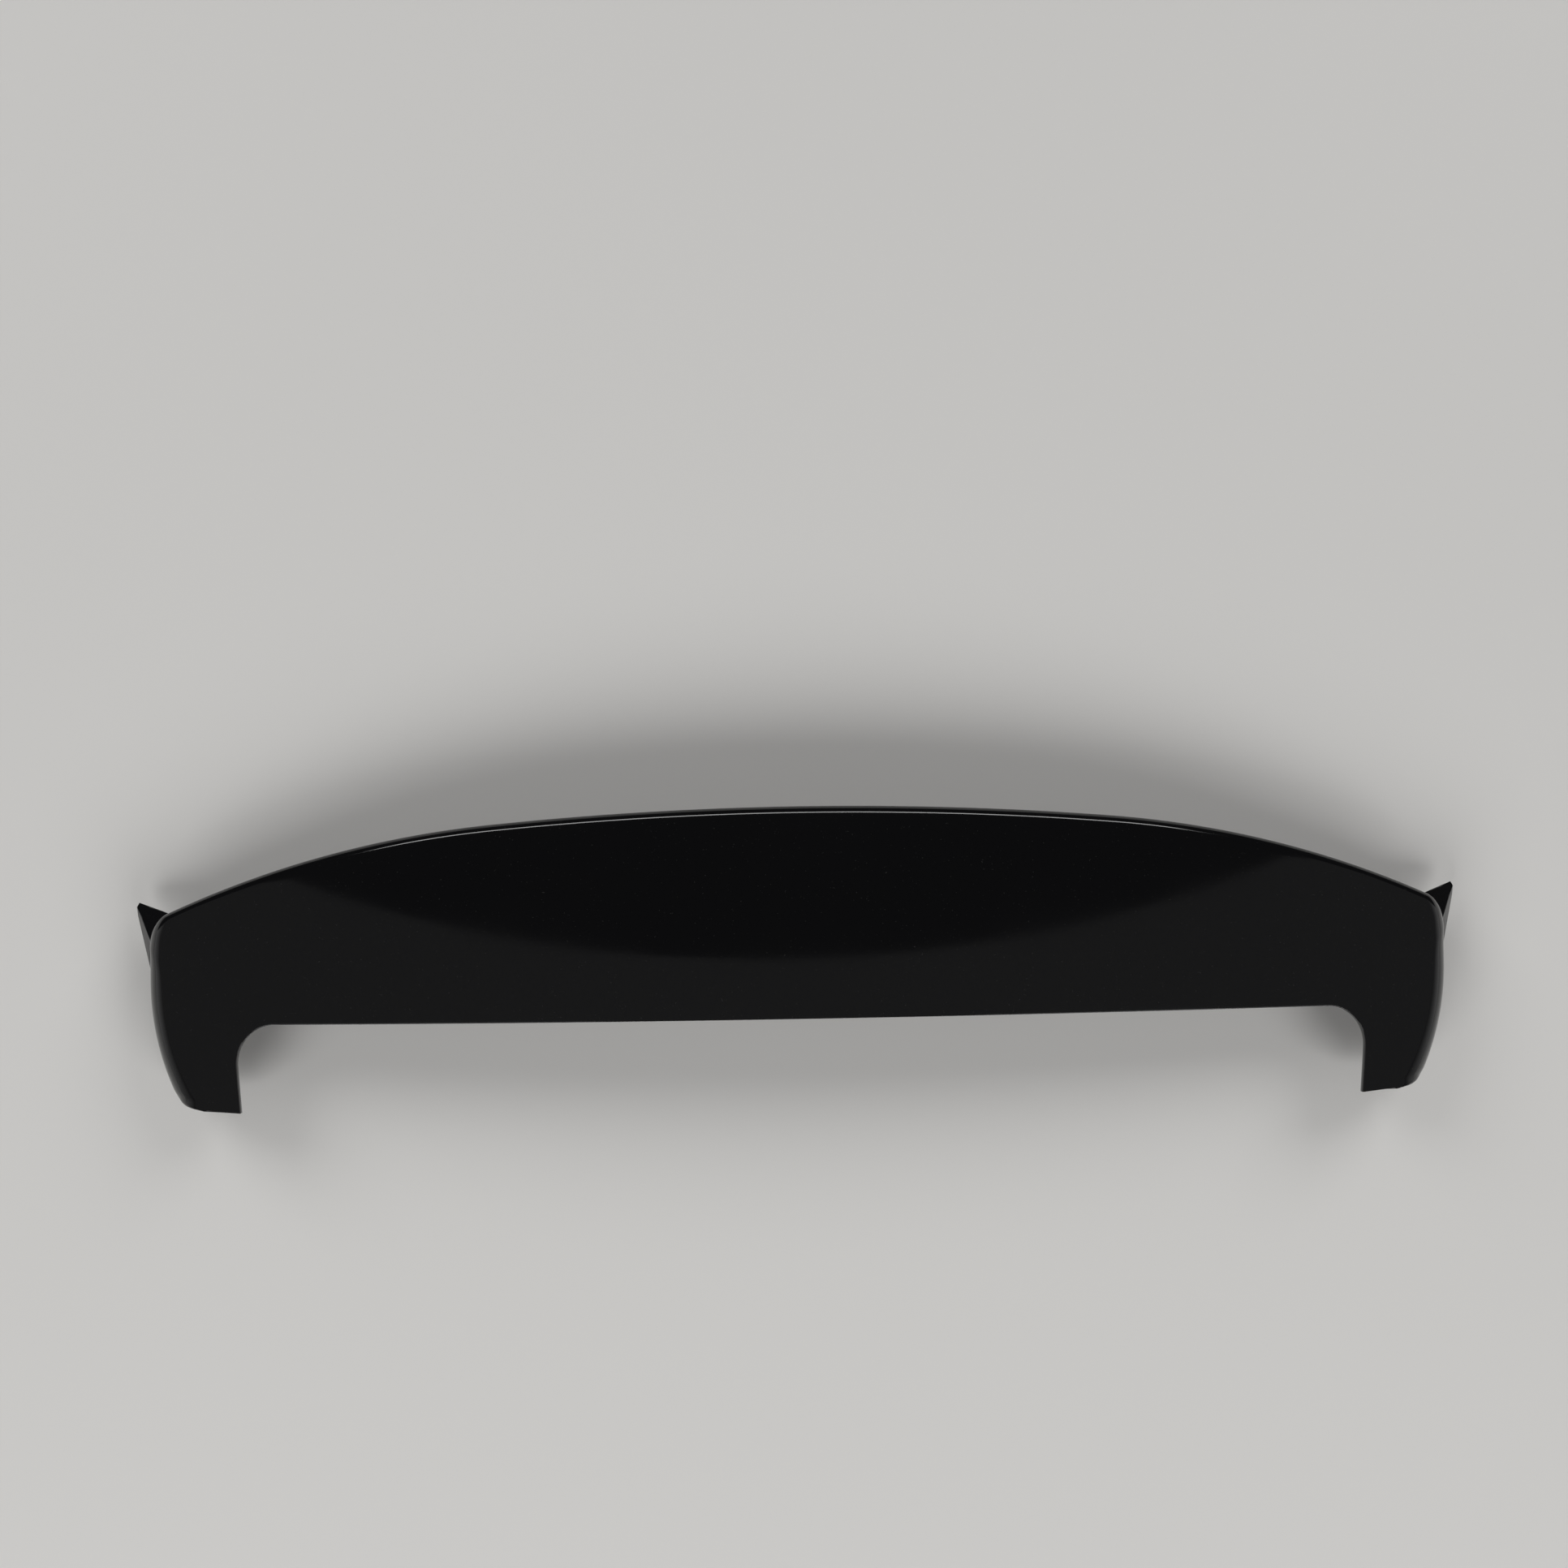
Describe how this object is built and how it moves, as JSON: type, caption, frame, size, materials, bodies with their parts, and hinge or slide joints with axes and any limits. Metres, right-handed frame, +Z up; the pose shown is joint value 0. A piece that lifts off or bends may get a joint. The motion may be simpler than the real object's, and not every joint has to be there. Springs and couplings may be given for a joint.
{
  "type": "car tailgate spoiler",
  "caption": "Wide crowned tailgate spoiler with a rolled trailing edge, a bay between short legs and hollow winglets that flare down from the rear corners; studs hold it to the tailgate.",
  "frame": {"origin": "centre of the stud pattern, on the plane of the foam rings' lower faces, which meets the tailgate", "axes": "+X to the right as seen from above with the trailing edge away, +Y rearward to the trailing edge, +Z up out of the painted face and along the studs' way out of the tailgate"},
  "size_m": [1.236, 0.2681, 0.1071],
  "materials": {
    "gloss_paint": "gloss black paint on a moulded skin",
    "grained_plastic": "black moulded plastic, satin",
    "insert_brass": "turned brass",
    "stud_steel": "bright zinc plate",
    "seal_foam": "closed-cell foam, matt",
    "clip_plastic": "natural nylon",
    "seal_rubber": "extruded rubber, matt",
    "pad_foam": "open foam, matt"
  },
  "bodies": {
    "root": {"upper_shell": "gloss_paint", "lower_shell": "grained_plastic", "stud_inserts": "insert_brass", "mounting_studs": "stud_steel", "stud_seals": "seal_foam", "leg_clips": "clip_plastic", "edge_seal": "seal_rubber", "buffer_pad_left": "pad_foam", "buffer_pad_right": "pad_foam"}
  },
  "joints": []
}
